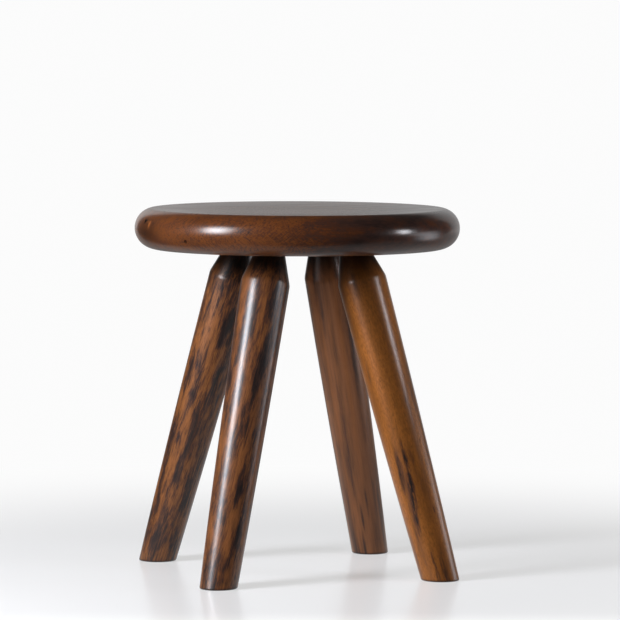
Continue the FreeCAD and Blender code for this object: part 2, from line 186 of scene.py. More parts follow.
class Nodes:
    """A node tree in the making."""

    def __init__(self, tree):
        self.tree = tree

    def add(self, kind, inputs=None, **options):
        """A new node with its options and inputs set; an input is a value or another node's socket."""
        node = self.tree.nodes.new(kind)
        for option, value in options.items():
            setattr(node, option, value)
        for key, value in (inputs or {}).items():
            self.feed(node.inputs[key], value)
        return node

    def out(self, kind, inputs=None, **options):
        """First output of a new node."""
        return self.add(kind, inputs, **options).outputs[0]

    def feed(self, socket, value):
        """Link a socket, or set its value."""
        if isinstance(value, bpy.types.NodeSocket):
            self.tree.links.new(value, socket)
        else:
            socket.default_value = value

    def math(self, operation, *values):
        """One step of arithmetic."""
        return self.out("ShaderNodeMath", dict(enumerate(values)), operation=operation)

    def total(self, first, *rest):
        """Sum of several values."""
        for value in rest:
            first = self.math("ADD", first, value)
        return first

    def product(self, first, *rest):
        """Product of several values."""
        for value in rest:
            first = self.math("MULTIPLY", first, value)
        return first

    def beside(self, value):
        """What is left of one."""
        return self.math("SUBTRACT", 1.0, value)

    def mix(self, factor, first, second):
        """A value between two others."""
        return self.out("ShaderNodeMix", {0: factor, 2: first, 3: second})

    def ramp(self, value, low, high, start=0.0, end=1.0, smooth=True):
        """A value that goes from start to end as another goes from low to high."""
        ends = {"Value": value, "From Min": low, "From Max": high, "To Min": start, "To Max": end}
        way = "SMOOTHSTEP" if smooth else "LINEAR"
        return self.out("ShaderNodeMapRange", ends, interpolation_type=way)

    def blend(self, factor, first, second, way="MIX"):
        """Two colours mixed."""
        node = self.add("ShaderNodeMix", data_type="RGBA", blend_type=way)
        sockets = {socket.identifier: socket for socket in node.inputs}
        self.feed(sockets["Factor_Float"], factor)
        self.feed(sockets["A_Color"], paint(first))
        self.feed(sockets["B_Color"], paint(second))
        return next(socket for socket in node.outputs if socket.identifier == "Result_Color")

    def split(self, vector):
        """The three parts of a vector."""
        return self.add("ShaderNodeSeparateXYZ", {"Vector": vector}).outputs[:3]

    def join(self, x, y, z):
        """A vector from its three parts."""
        return self.out("ShaderNodeCombineXYZ", {0: x, 1: y, 2: z})

    def away(self, vector, centre=STILL):
        """Distance from a point."""
        ends = {0: vector, 1: centre}
        return self.add("ShaderNodeVectorMath", ends, operation="DISTANCE").outputs["Value"]

    def from_axis(self, x, y):
        """Distance from the upright axis."""
        return self.math("SQRT", self.total(self.product(x, x), self.product(y, y)))

    def here(self):
        """Coordinates of the piece."""
        return self.add("ShaderNodeTexCoord").outputs["Object"]

    def mapped(self, vector, way, **inputs):
        """Coordinates moved, turned or scaled."""
        return self.out("ShaderNodeMapping", {"Vector": vector, **inputs}, vector_type=way)


def paint(value):
    """A colour property as a socket takes it; a socket stays as it is."""
    if isinstance(value, bpy.types.NodeSocket):
        return value
    return (*value, 1.0)


# Objects and meshes


def new_object(name, data):
    """An object at the origin, in the scene."""
    made = bpy.data.objects.new(name, data)
    bpy.context.scene.collection.objects.link(made)
    return made


def finished_mesh(shape, name):
    """A plain mesh from a shape in the making."""
    mesh = bpy.data.meshes.new(name)
    shape.to_mesh(mesh)
    shape.free()
    return mesh


def bake_modifiers(piece):
    """Turn what the modifiers make into the piece's plain mesh."""
    depsgraph = bpy.context.evaluated_depsgraph_get()
    mesh = bpy.data.meshes.new_from_object(piece.evaluated_get(depsgraph), depsgraph=depsgraph)
    if not mesh.polygons:
        raise RuntimeError(f"{piece.name} came out empty")
    piece.modifiers.clear()
    piece.data = mesh
    mesh.name = piece.name
    mesh.shade_smooth()
    mesh.set_sharp_from_angle(angle=SMOOTH_ANGLE)


def made_by_nodes(name, tree, settings):
    """An object whose plain mesh is what the tree makes of these settings."""
    piece = new_object(name, bpy.data.meshes.new(name))
    modifier = piece.modifiers.new("make", "NODES")
    modifier.node_group = tree
    for socket in tree.interface.items_tree:
        if socket.in_out == "INPUT":
            modifier[socket.identifier] = settings[socket.name]
    bake_modifiers(piece)
    return piece


# The turned leg

LegPlace = namedtuple("LegPlace", "name top turn length lean saw_side")
SAW_SIDES = {"back_right": -1, "back_left": 1, "front_left": -1, "front_right": 1}
LEG_STEPS = ("around", "rings")
LEG_PLACING = ("mortise_circle", "twist", "cut_turn")
LEG_SIZES = [size for size in StoolLegs.__annotations__ if size not in (*LEG_STEPS, *LEG_PLACING)]
PLACE_INPUTS = dict.fromkeys(("Cut Turn", "Seed", "Axis Length", "Lean"), "NodeSocketFloat")
PLACE_INPUTS |= {"Top": "NodeSocketVector", "Turn": "NodeSocketRotation", "Wood": "NodeSocketMaterial"}
RING_SPACING = [(0.0, 0.0), (0.08, 0.006), (0.60, 0.86), (0.86, 0.93), (1.0, 1.0)]
LEVEL_AT_FOOT = (6 * MM, 70 * MM)
LEVEL_AT_SEAT = (2 * MM, 34 * MM)
UNEVEN_PATCH = 45 * MM
UNEVEN_LONGER = 3.0
UNEVEN_DETAIL = 1.0
UNEVEN_BOTH_WAYS = 2.0
CAP_RINGS = 3
TENON_END = 0.5
NEARLY_ONE = 0.9999
REFINEMENTS = 3
CROWN_PEAK = 4.0

# The blank is a cylinder of unit height about the origin, and the saw cut a box of these sides
BLANK_SPAN = (-0.5, 0.5)
CUTTER = (2.0, 1.0, 1.0)
CUT_REACH = 4.0


def leg_places(legs, underside):
    """Each leg's axis, from its foot on the floor to its mortise in the seat."""
    places = []
    for name, foot in FEET.items():
        mortise = math.atan2(foot.y, foot.x) + legs.twist
        top = Vector((math.cos(mortise), math.sin(mortise), 0)) * legs.mortise_circle
        top.z = underside
        spread = foot - top
        out = Vector((spread.x, spread.y))
        lean = math.atan2(out.length, underside)
        turn = Euler((0, -lean, math.atan2(out.y, out.x)))
        places.append(LegPlace(name, top, turn, spread.length, lean, SAW_SIDES[name]))
    return places


def input_name(size):
    """A size of the leg as the input of its nodes is called."""
    return size.replace("_", " ").title()


def leg_settings(legs, place, wood, seed):
    """What the leg's nodes are told for one leg."""
    settings = {input_name(size): getattr(legs, size) for size in (*LEG_SIZES, *LEG_STEPS)}
    return settings | {
        "Cut Turn": legs.cut_turn * place.saw_side,
        "Seed": seed,
        "Axis Length": place.length,
        "Lean": place.lean,
        "Top": place.top,
        "Turn": place.turn,
        "Wood": wood,
    }


def turned_leg_tree():
    """Geometry nodes for one leg: a turned outline, level at floor and seat, with a sawn tenon."""
    tree = bpy.data.node_groups.new("turned leg", "GeometryNodeTree")
    tree.is_modifier = True
    inputs = {input_name(size): "NodeSocketFloat" for size in LEG_SIZES}
    inputs |= {input_name(steps): "NodeSocketInt" for steps in LEG_STEPS}
    inputs |= PLACE_INPUTS
    for name, kind in inputs.items():
        tree.interface.new_socket(name, in_out="INPUT", socket_type=kind)
    tree.interface.new_socket("Leg", in_out="OUTPUT", socket_type="NodeSocketGeometry")
    n = Nodes(tree)
    size = n.add("NodeGroupInput").outputs
    steps = {"Vertices": size["Around"], "Side Segments": size["Rings"], "Fill Segments": CAP_RINGS}
    unit = {"Radius": 1.0, "Depth": 1.0}
    blank = n.out("GeometryNodeMeshCylinder", steps | unit, fill_type="TRIANGLE_FAN")
    x, y, z = n.split(n.out("GeometryNodeInputPosition"))
    ring = n.math("SUBTRACT", z, BLANK_SPAN[0])
    from_axis = n.from_axis(x, y)
    toward = n.math("DIVIDE", x, from_axis)
    aside = n.math("DIVIDE", y, from_axis)

    spacing = n.add("ShaderNodeFloatCurve", {"Value": ring})
    curve = spacing.mapping.curves[0]
    curve.points[0].location = RING_SPACING[0]
    curve.points[1].location = RING_SPACING[-1]
    for point in RING_SPACING[1:-1]:
        curve.points.new(*point)
    for point in curve.points:
        point.handle_type = "VECTOR"
    spacing.mapping.update()
    up = n.product(spacing.outputs[0], size["Axis Length"])
    along = n.math("SUBTRACT", up, size["Axis Length"])
    below = n.product(along, -1.0)

    level_foot = n.ramp(up, *LEVEL_AT_FOOT, 1.0, 0.0)
    level_seat = n.ramp(below, *LEVEL_AT_SEAT, 1.0, 0.0)
    slope = n.math("TANGENT", size["Lean"])
    tilt = n.product(n.total(level_foot, level_seat), n.product(slope, toward))

    foot_level = n.product(size["Axis Length"], -1.0)
    shoulder_level = n.product(size["Neck Length"], -1.0)
    taper = n.math("SUBTRACT", size["Shoulder Radius"], size["Foot Radius"])
    neck_rise = n.math("SUBTRACT", size["Shoulder Radius"], size["Neck Radius"])
    neck_slope = n.math("DIVIDE", neck_rise, size["Neck Length"])

    def outline(level):
        """Radius of the turning at a level on its axis."""
        span = {"Value": level, "From Min": foot_level, "From Max": shoulder_level}
        part = n.out("ShaderNodeMapRange", span, clamp=False)
        crown = n.product(part, n.beside(part), n.product(size["Bulge"], CROWN_PEAK))
        body = n.total(size["Foot Radius"], n.product(taper, part), crown)
        neck = n.math("SUBTRACT", size["Neck Radius"], n.product(level, neck_slope))
        return n.math("SMOOTH_MIN", body, neck, size["Shoulder Blend"])

    radius = outline(along)
    for _ in range(REFINEMENTS):
        radius = outline(n.math("SUBTRACT", along, n.product(tilt, radius)))

    longer = n.math("DIVIDE", along, UNEVEN_LONGER)
    patch = n.join(n.product(toward, radius), n.product(aside, radius), longer)
    noise = {"Vector": patch, "W": size["Seed"], "Scale": 1 / UNEVEN_PATCH, "Detail": UNEVEN_DETAIL}
    stray = n.out("ShaderNodeTexNoise", noise, noise_dimensions="4D")
    free = n.product(n.beside(level_foot), n.beside(level_seat))
    swing = about(n, stray, n.product(size["Unevenness"], UNEVEN_BOTH_WAYS))
    above = n.product(up, n.math("COSINE", size["Lean"]))
    short = n.math("MAXIMUM", n.math("SUBTRACT", size["Foot Round"], above), 0.0)
    chord = n.math("SUBTRACT", n.math("POWER", size["Foot Round"], 2.0), n.math("POWER", short, 2.0))
    rounding = n.math("SUBTRACT", n.math("SQRT", chord), size["Foot Round"])
    radius = n.total(radius, n.product(free, swing), rounding)
    radius = n.product(radius, from_axis)

    inside = n.math("LESS_THAN", from_axis, NEARLY_ONE)
    tenon = n.product(inside, n.math("GREATER_THAN", ring, NEARLY_ONE))
    core = n.math("MINIMUM", n.product(from_axis, CAP_RINGS), 1.0)
    raised = n.product(tenon, n.math("LESS_THAN", from_axis, TENON_END))
    radius = n.mix(tenon, radius, n.product(core, size["Tenon Radius"]))
    level = n.math("SUBTRACT", along, n.product(tilt, radius))
    level = n.mix(raised, level, size["Tenon Length"])
    point = n.join(n.product(toward, radius), n.product(aside, radius), level)
    shaped = n.out("GeometryNodeSetPosition", {"Geometry": blank, "Position": point})

    cutter = n.out("GeometryNodeMeshCube", {"Size": CUTTER})
    cut_up = n.ramp(z, *BLANK_SPAN, size["Cut Low"], size["Cut High"], smooth=False)
    cut_half = n.ramp(z, *BLANK_SPAN, size["Cut Narrow"], size["Cut Wide"], smooth=False)
    cut_across = n.product(y, n.product(size["Neck Radius"], CUT_REACH))
    point = n.join(n.product(x, cut_half), cut_across, cut_up)
    kerf = n.out("GeometryNodeSetPosition", {"Geometry": cutter, "Position": point})
    cut_turn = n.join(0.0, 0.0, size["Cut Turn"])
    kerf = n.out("GeometryNodeTransform", {"Geometry": kerf, "Rotation": cut_turn})
    parts = {"Mesh 1": shaped, "Mesh 2": kerf}
    sawn = n.out("GeometryNodeMeshBoolean", parts, operation="DIFFERENCE", solver="EXACT")
    stand = {"Geometry": sawn, "Translation": size["Top"], "Rotation": size["Turn"]}
    placed = n.out("GeometryNodeTransform", stand)
    smooth = n.out("GeometryNodeSetShadeSmooth", {"Geometry": placed})
    real = n.out("GeometryNodeRealizeInstances", {"Geometry": smooth})
    done = n.out("GeometryNodeSetMaterial", {"Geometry": real, "Material": size["Wood"]})
    n.add("NodeGroupOutput", {0: done})
    return tree


# The turned seat

DISH_STEPS = 28
CREST_STEPS = 8
EDGE_STEPS = 28
ARRIS_STEPS = 6
FLAT_STEPS = 8
MORTISE_SIDES = 64

# Worm holes: their turn round the seat and their height above its girth
PINHOLES = [(math.radians(184.0), 11.3 * MM), (math.radians(210.6), -10.0 * MM)]
PINHOLE_RADIUS = 0.9 * MM
PINHOLE_DEPTH = 6 * MM
PINHOLE_SIDES = 16


def arc(centre, radius, first, last, steps):
    """Points of a circle from one angle to another, without the first one."""
    points = []
    for step in range(1, steps + 1):
        turn = first + (last - first) * step / steps
        points.append((centre[0] + radius * math.cos(turn), centre[1] + radius * math.sin(turn)))
    return points


def bullnose(reach, rise, small):
    """Radius of an arc that leaves the girth upright and runs into a small tangent round."""
    return (reach ** 2 + (rise - small) ** 2 - small ** 2) / (2 * (reach - small))


def seat_outline(seat):
    """Half section of the seat, from the middle of the dish round the edge to that of the underside."""
    girth = seat.girth_radius
    girth_up = seat.underside_up + seat.girth_up
    reach = girth - seat.crest_radius
    upper = bullnose(reach, seat.crest_up - girth_up, seat.crest_round)
    lower = bullnose(girth - seat.flat_radius, seat.girth_up, seat.arris_round)
    dish_up = seat.crest_up - seat.dish_depth
    dish_rise = seat.dish_depth - seat.crest_round
    dish_square = seat.crest_radius ** 2 + dish_rise ** 2 - seat.crest_round ** 2
    dish = dish_square / (2 * seat.dish_depth)
    dish_centre = (0.0, dish_up + dish)
    crest_centre = (seat.crest_radius, seat.crest_up - seat.crest_round)
    upper_centre = (girth - upper, girth_up)
    lower_centre = (girth - lower, girth_up)
    arris_centre = (seat.flat_radius, seat.underside_up + seat.arris_round)

    def way(start, end):
        """Angle of the line from one point to another."""
        return math.atan2(end[1] - start[1], end[0] - start[0])

    dish_end = way(dish_centre, crest_centre)
    crest_start = way(crest_centre, dish_centre)
    crest_end = way(upper_centre, crest_centre)
    arris_start = way(lower_centre, arris_centre)
    outline = [(0.0, dish_up)]
    outline += arc(dish_centre, dish, -math.pi / 2, dish_end, DISH_STEPS)
    outline += arc(crest_centre, seat.crest_round, crest_start, crest_end, CREST_STEPS)
    outline += arc(upper_centre, upper, crest_end, 0.0, EDGE_STEPS)
    outline += arc(lower_centre, lower, 0.0, arris_start, EDGE_STEPS)
    outline += arc(arris_centre, seat.arris_round, arris_start, -math.pi / 2, ARRIS_STEPS)
    for step in range(1, FLAT_STEPS + 1):
        outline.append((seat.flat_radius * (1 - step / FLAT_STEPS), seat.underside_up))
    return outline


def turn_mesh(name, outline, around):
    """A closed mesh of revolution about Z; the outline's first and last points are on the axis."""
    shape = bmesh.new()
    rings = []
    for radius, up in outline[1:-1]:
        ring = []
        for step in range(around):
            turn = math.tau * step / around
            ring.append(shape.verts.new((radius * math.cos(turn), radius * math.sin(turn), up)))
        rings.append(ring)
    first = shape.verts.new((0.0, 0.0, outline[0][1]))
    last = shape.verts.new((0.0, 0.0, outline[-1][1]))
    for step in range(around):
        after = (step + 1) % around
        shape.faces.new((first, rings[0][step], rings[0][after]))
        shape.faces.new((last, rings[-1][after], rings[-1][step]))
        for inner, outer in zip(rings, rings[1:]):
            shape.faces.new((inner[step], outer[step], outer[after], inner[after]))
    bmesh.ops.recalc_face_normals(shape, faces=shape.faces)
    return finished_mesh(shape, name)


def pinhole_mouths(seat):
    """Where the worm holes open on the seat's edge."""
    mouths = []
    for azimuth, above_girth in PINHOLES:
        mouth = Vector((math.cos(azimuth), math.sin(azimuth), 0)) * seat.girth_radius
        mouth.z = seat.underside_up + seat.girth_up + above_girth
        mouths.append(mouth)
    return mouths


def seat_borings(seat, places):
    """Everything that is bored out of the seat: four leaning mortises and two small worm holes."""
    shape = bmesh.new()

    def bore(sides, radius, depth, matrix):
        """A bore with its mouth at this place, and as much of it again outside the wood."""
        ends = {"radius1": radius, "radius2": radius, "depth": 2 * depth}
        bmesh.ops.create_cone(shape, cap_ends=True, segments=sides, matrix=matrix, **ends)

    for place in places:
        lean = Matrix.Translation(place.top) @ place.turn.to_matrix().to_4x4()
        bore(MORTISE_SIDES, seat.mortise_radius, seat.mortise_depth, lean)
    for mouth in pinhole_mouths(seat):
        inward = Vector((mouth.x, mouth.y, 0)).to_track_quat("Z", "Y").to_matrix().to_4x4()
        bore(PINHOLE_SIDES, PINHOLE_RADIUS, PINHOLE_DEPTH, Matrix.Translation(mouth) @ inward)
    return new_object("borings", finished_mesh(shape, "borings"))


def make_seat(seat, legs, wood):
    """The seat as one bored mesh."""
    piece = new_object("dished_seat", turn_mesh("dished_seat", seat_outline(seat), seat.around))
    piece.data.materials.append(wood)
    borings = seat_borings(seat, leg_places(legs, seat.underside_up))
    cut = piece.modifiers.new("bore", "BOOLEAN")
    cut.operation = "DIFFERENCE"
    cut.solver = "EXACT"
    cut.object = borings
    bake_modifiers(piece)
    bpy.data.objects.remove(borings)
    return piece


# What the woods share

NOISE_MIDDLE = 0.5
NOISE_SPAN = (0.3, 0.7)
SWAY_DETAIL = 1.0
FACE_TURN = math.radians(-17)
MARK_EDGE = (0.15, 1.25)
PORE_DEPTH = 0.05 * MM
LACQUER_IOR = 1.40

# Lacquer or bare wood: shading by the fine grain, roughness by a grain, gloss and its coat
Finish = namedtuple("Finish", "shade rough specular coat coat_rough")

# Noise drawn out along the grain: millimetres across and along it, and its weight in the figure
Grain = namedtuple("Grain", "across along detail roughness weight", defaults=(None,))

# Wandering of the grain: millimetres aside, and the size of a bend across and along it
Sway = namedtuple("Sway", "aside across along")

# Colour at a level of the figure: a wood, and how much lighter it is there
Tone = namedtuple("Tone", "level wood lighter", defaults=(1.0,))

# Marks of the figure: millimetres down, degrees round, millimetres long and wide, darker or paler
Mark = namedtuple("Mark", "down turn long wide weight")


def new_material(name):
    """An empty material and its nodes."""
    material = bpy.data.materials.new(name)
    material.use_nodes = True
    material.node_tree.nodes.clear()
    return material, Nodes(material.node_tree)


def fineness(pattern):
    """Scale of a pattern that has a size across the grain and along it."""
    across = 1 / (pattern.across * MM)
    return (across, across, 1 / (pattern.along * MM))


def grain(n, space, kind, shift=STILL):
    """Noise drawn out along the grain."""
    moved = n.mapped(space, "POINT", Scale=fineness(kind), Location=shift)
    noise = {"Vector": moved, "Scale": 1.0, "Detail": kind.detail, "Roughness": kind.roughness}
    return n.out("ShaderNodeTexNoise", noise)


def about(n, value, weight):
    """A noise value as a swing about nothing."""
    return n.product(n.math("SUBTRACT", value, NOISE_MIDDLE), weight)


def weighed(n, space, kind, shift=STILL):
    """A grain as it counts in the figure."""
    return about(n, grain(n, space, kind, shift), kind.weight)


def swayed(n, space, sway):
    """The same coordinates with the grain wandering gently sideways."""
    moved = n.mapped(space, "POINT", Scale=fineness(sway))
    drift = n.add("ShaderNodeTexNoise", {"Vector": moved, "Scale": 1.0, "Detail": SWAY_DETAIL})
    middle = (NOISE_MIDDLE, NOISE_MIDDLE, NOISE_MIDDLE)
    swing = n.out("ShaderNodeVectorMath", {0: drift.outputs["Color"], 1: middle}, operation="SUBTRACT")
    ends = {0: swing, 1: (sway.aside * MM, sway.aside * MM, 0.0), 2: space}
    return n.out("ShaderNodeVectorMath", ends, operation="MULTIPLY_ADD")


def marked(n, space, marks, reach, tilt=STILL, taper=0.0):
    """How strongly the wood is marked here, dark or light, by spots at this reach from the axis."""
    tally = 0.0
    for mark in marks:
        around = math.radians(mark.turn)
        out = reach - taper * mark.down
        spot = Vector((out * math.cos(around), out * math.sin(around), -mark.down)) * MM
        size = Vector((mark.wide, mark.wide, mark.long)) * MM
        near = n.mapped(space, "TEXTURE", Location=spot, Rotation=tilt, Scale=size)
        tally = n.total(n.ramp(n.away(near), *MARK_EDGE, start=mark.weight, end=0.0), tally)
    return tally


def toned(n, figure, woods, tones):
    """Colour of the wood, which runs through its tones as the figure rises."""
    node = n.add("ShaderNodeValToRGB", {"Fac": figure})
    bands = node.color_ramp.elements
    while len(bands) < len(tones):
        bands.new(1.0)
    for band, tone in zip(bands, tones):
        band.position = tone.level
        band.color = paint(Vector(getattr(woods, tone.wood)) * tone.lighter)
    return node.outputs["Color"]


def by_noise(n, noise, span, smooth=False):
    """A value that goes over a span with a noise."""
    return n.ramp(noise, *NOISE_SPAN, *span, smooth=smooth)


def lacquered(n, tone, fine, rough, finish, *shades):
    """Satin lacquer over wood: colour shaded by the fine grain, gloss and faint open pores."""
    shade = n.product(by_noise(n, fine, finish.shade), *shades)
    tone = n.blend(1.0, tone, n.join(shade, shade, shade), "MULTIPLY")
    bump = n.out("ShaderNodeBump", {"Height": fine, "Distance": PORE_DEPTH, "Strength": 1.0})
    shader = n.out(
        "ShaderNodeBsdfPrincipled",
        {
            "Base Color": tone,
            "Roughness": rough,
            "Normal": bump,
            "IOR": LACQUER_IOR,
            "Specular IOR Level": finish.specular,
            "Coat Weight": finish.coat,
            "Coat Roughness": finish.coat_rough,
            "Coat IOR": LACQUER_IOR,
        },
    )
    n.add("ShaderNodeOutputMaterial", {"Surface": shader})


# Woods of the legs

# Where marks lie: by a round reach from the axis, or on the tapering skin of the leg
MARK_REACH = 27
SKIN_REACH = 32.1
SKIN_TAPER = 0.0215

# Figure of the legs: marks by millimetres below the seat and degrees round from the outside
LEG_MARKS = {
    "back_left": [
        Mark(103, 137, 34, 10, 0.30),
        Mark(74, 80, 28, 4.5, 0.32),
        Mark(105, 78, 20, 6, 0.10),
        Mark(151, 84, 20, 6, 0.20),
        Mark(190, 90, 34, 7, 0.13),
        Mark(170, 150, 55, 9, 0.16),
        Mark(295, 105, 24, 4, 0.18),
        Mark(317, 151, 40, 7, 0.14),
        Mark(385, 149, 30, 7, 0.16),
        Mark(260, 45, 60, 4, 0.12),
        Mark(76, 62, 30, 6, -0.16),
        Mark(140, 112, 60, 4.5, -0.20),
        Mark(285, 76, 60, 5, -0.18),
    ],
    "front_left": [
        Mark(125, 60, 60, 7, 0.26),
        Mark(84, 12, 48, 9, 0.36),
        Mark(72, -3, 46, 7, 0.32),
        Mark(78, 58, 44, 6, 0.20),
        Mark(136, 34, 16, 4, 0.16),
        Mark(173, 40, 18, 5, 0.16),
        Mark(300, 49, 32, 7, 0.30),
        Mark(234, 45, 24, 3, 0.14),
        Mark(356, 59, 40, 6, 0.12),
        Mark(80, 34, 52, 4.5, -0.34),
        Mark(265, 33, 26, 3, -0.14),
        Mark(372, 36, 36, 5, -0.12),
    ],
    "back_right": [
        Mark(365, -176, 60, 7, -0.18),
        Mark(372, -112, 60, 9, 0.08),
        Mark(285, -128, 50, 3.0, 0.12),
        Mark(340, -137, 26, 2.2, 0.20),
        Mark(362, -156, 26, 2.0, 0.22),
        Mark(400, -163, 28, 2.0, 0.22),
        Mark(134, -139, 3, 1, 0.15),
    ],
    "front_right": [
        Mark(262, -69, 24, 4.0, 0.20),
        Mark(290, -71, 26, 5.0, 0.25),
        Mark(314, -77, 26, 4.8, 0.27),
        Mark(340, -85, 24, 4.2, 0.24),
        Mark(272, -92, 24, 3.6, 0.20),
        Mark(294, -98, 18, 3.2, 0.20),
        Mark(261, -52, 18, 5.0, 0.14),
        Mark(334, -23, 7, 2.2, 0.34),
        Mark(402, -66, 30, 3.8, 0.22),
        Mark(412, -43, 32, 6.0, 0.15),
    ],
}

# Painted shade: the seat's shadow on each leg's neck and the shadow at the foot's arris, by distance
# from the seat and from the floor
NECK_PAINTED_SHADE = {
    "front_left": (17 * MM, 44 * MM),
    "back_left": (18 * MM, 48 * MM),
    "front_right": (8 * MM, 66 * MM),
    "back_right": (8 * MM, 46 * MM),
}
NECK_PAINTED_DARK = 0.12
FOOT_PAINTED_SHADE = (1.0 * MM, 4.0 * MM)
FOOT_PAINTED_DARK = 0.35

STREAKED_FINISH = Finish((0.74, 1.24), (0.36, 0.44), 0.34, 0.88, 0.26)
STREAK_SWAYS = (Sway(4, 40, 150), Sway(2.2, 9, 26))
STREAK_PLUME = Grain(10, 58, 8.0, 0.63, 1.75)
STREAK_SLIVER = Grain(2.2, 18, 5.0, 0.66, 0.8)
STREAK_THREAD = Grain(1.0, 26, 3.0, 0.60, 0.7)
STREAK_FIBRE = Grain(0.7, 10, 3.0, 0.60)
STREAK_LEVEL = 0.5
STREAK_DARKS = (Tone(0.53, "russet"), Tone(0.65, "umber"), Tone(0.84, "ebony"))
CHESTNUT_TONES = (Tone(0.16, "chestnut", 1.30), Tone(0.40, "chestnut"), *STREAK_DARKS)
AMBER_TONES = (Tone(0.16, "amber", 1.30), Tone(0.40, "amber"), *STREAK_DARKS)

# The two streaked legs: colours, place in the noise, share of dark, and grain out of true
Streaks = namedtuple("Streaks", "tones shift lift tilt")
STREAKS = {
    "front_left": Streaks(CHESTNUT_TONES, (0.0, 0.0, 3.0), -0.03, math.radians(5)),
    "back_left": Streaks(AMBER_TONES, (5.0, 1.0, 0.0), 0.01, math.radians(3)),
}

GOLDEN_FINISH = Finish((0.60, 1.38), (0.36, 0.44), 0.10, 1.0, 0.28)
GOLDEN_SWAY = Sway(4, 50, 200)
GOLDEN_BAND = Grain(14, 260, 3.0, 0.5)
GOLDEN_FLECK = Grain(1.9, 5, 3.0, 0.6, 0.50)
GOLDEN_FIBRE = Grain(0.6, 22, 3.0, 0.6, 0.30)
GOLDEN_PATCH = Grain(9, 55, 4.0, 0.6, 0.50)
GOLDEN_FEATHER = Grain(2.4, 16, 4.0, 0.65)
FEATHER_SPAN = (0.34, 0.66)
FEATHER_SHARE = (0.0, 2.0)
GOLDEN_GROUND = (Tone(0.34, "golden", 1.2), Tone(0.52, "golden"))
GOLDEN_TONES = (*GOLDEN_GROUND, Tone(0.68, "tawny"), Tone(0.92, "ebony"))
# Painted shade on the golden leg: the seat's shadow under its shoulder, and darker bands down its
# middle and left side where less light falls
GOLDEN_PAINTED_SHADE = [
    Mark(225, -52, 330, 16, 0.38),
    Mark(100, -50, 120, 14, 0.17),
    Mark(240, -104, 120, 16, 0.14),
]

BROWN_FINISH = Finish((0.82, 1.16), (0.38, 0.46), 0.10, 1.0, 0.28)
BROWN_SWAY = Sway(4, 40, 160)
BROWN_BAND = Grain(12, 240, 2.0, 0.5)
BROWN_FIBRE = Grain(0.6, 25, 3.0, 0.6, 0.34)
BROWN_LINE = Grain(3.4, 50, 6.0, 0.70, 0.62)
BROWN_GROUND = (Tone(0.34, "walnut", 1.35), Tone(0.52, "walnut"))
BROWN_TONES = (*BROWN_GROUND, Tone(0.72, "dusk"), Tone(0.92, "ebony"))


def along_leg(n, place):
    """Coordinates on a leg: Z runs up its axis from zero at the seat."""
    return n.mapped(n.here(), "TEXTURE", Location=place.top, Rotation=place.turn)


def askew(place, tilt):
    """Turn of a leg's grain, which runs out of true to its axis as the front of the stool shows it."""
    facing = Vector((0.0, -1.0, 0.0))
    facing.rotate(Euler((0.0, 0.0, FACE_TURN)))
    facing.rotate(place.turn.to_matrix().inverted())
    return Matrix.Rotation(-tilt, 3, facing).to_euler()


def painted_end_shade(n, space, place):
    """Painted shade on a leg: the seat's shadow on its neck just under the seat, and the shadow at the
    arris of its foot.
    """
    down = n.product(n.split(space)[2], -1.0)
    up = n.split(n.here())[2]
    neck = n.ramp(down, *NECK_PAINTED_SHADE[place.name], NECK_PAINTED_DARK, 1.0)
    return n.product(neck, n.ramp(up, *FOOT_PAINTED_SHADE, FOOT_PAINTED_DARK, 1.0))


def streaked_leg_wood(woods, place):
    """Amber or chestnut wood with feathered near-black streaks along the leg."""
    material, n = new_material(f"streaked leg wood {place.name}")
    look = STREAKS[place.name]
    straight = along_leg(n, place)
    tilt = askew(place, look.tilt)
    space = n.mapped(straight, "TEXTURE", Rotation=tilt)
    for sway in STREAK_SWAYS:
        space = swayed(n, space, sway)
    sliver = grain(n, space, STREAK_SLIVER, look.shift)
    fibre = grain(n, space, STREAK_FIBRE)
    figure = n.total(
        weighed(n, space, STREAK_PLUME, look.shift),
        about(n, sliver, STREAK_SLIVER.weight),
        weighed(n, space, STREAK_THREAD, look.shift),
        marked(n, straight, LEG_MARKS[place.name], MARK_REACH, tilt),
        STREAK_LEVEL + look.lift,
    )
    tone = toned(n, figure, woods, look.tones)
    rough = by_noise(n, sliver, STREAKED_FINISH.rough, smooth=True)
    # The shade under the seat and at the foot is painted in
    lacquered(n, tone, fibre, rough, STREAKED_FINISH, painted_end_shade(n, straight, place))
    return material


def golden_leg_wood(woods, place):
    """Golden-brown wood with fine flecks and a few dark streaks, under painted shade from the seat and
    down its middle.
    """
    material, n = new_material("golden leg wood")
    straight = along_leg(n, place)
    space = swayed(n, straight, GOLDEN_SWAY)
    fleck = grain(n, space, GOLDEN_FLECK)
    feather = n.ramp(grain(n, space, GOLDEN_FEATHER), *FEATHER_SPAN, *FEATHER_SHARE, smooth=False)
    marks = marked(n, space, LEG_MARKS[place.name], SKIN_REACH, taper=SKIN_TAPER)
    figure = n.total(
        grain(n, space, GOLDEN_BAND),
        weighed(n, space, GOLDEN_FIBRE),
        about(n, fleck, GOLDEN_FLECK.weight),
        weighed(n, space, GOLDEN_PATCH),
        n.product(marks, feather),
    )
    tone = toned(n, figure, woods, GOLDEN_TONES)
    rough = by_noise(n, fleck, GOLDEN_FINISH.rough, smooth=True)
    # Painted shade: the seat's shadow, the darker middle and left side of the leg, and the shade at its
    # ends
    painted_shade = n.beside(marked(n, space, GOLDEN_PAINTED_SHADE, MARK_REACH))
    lacquered(n, tone, fleck, rough, GOLDEN_FINISH, painted_end_shade(n, straight, place), painted_shade)
    return material


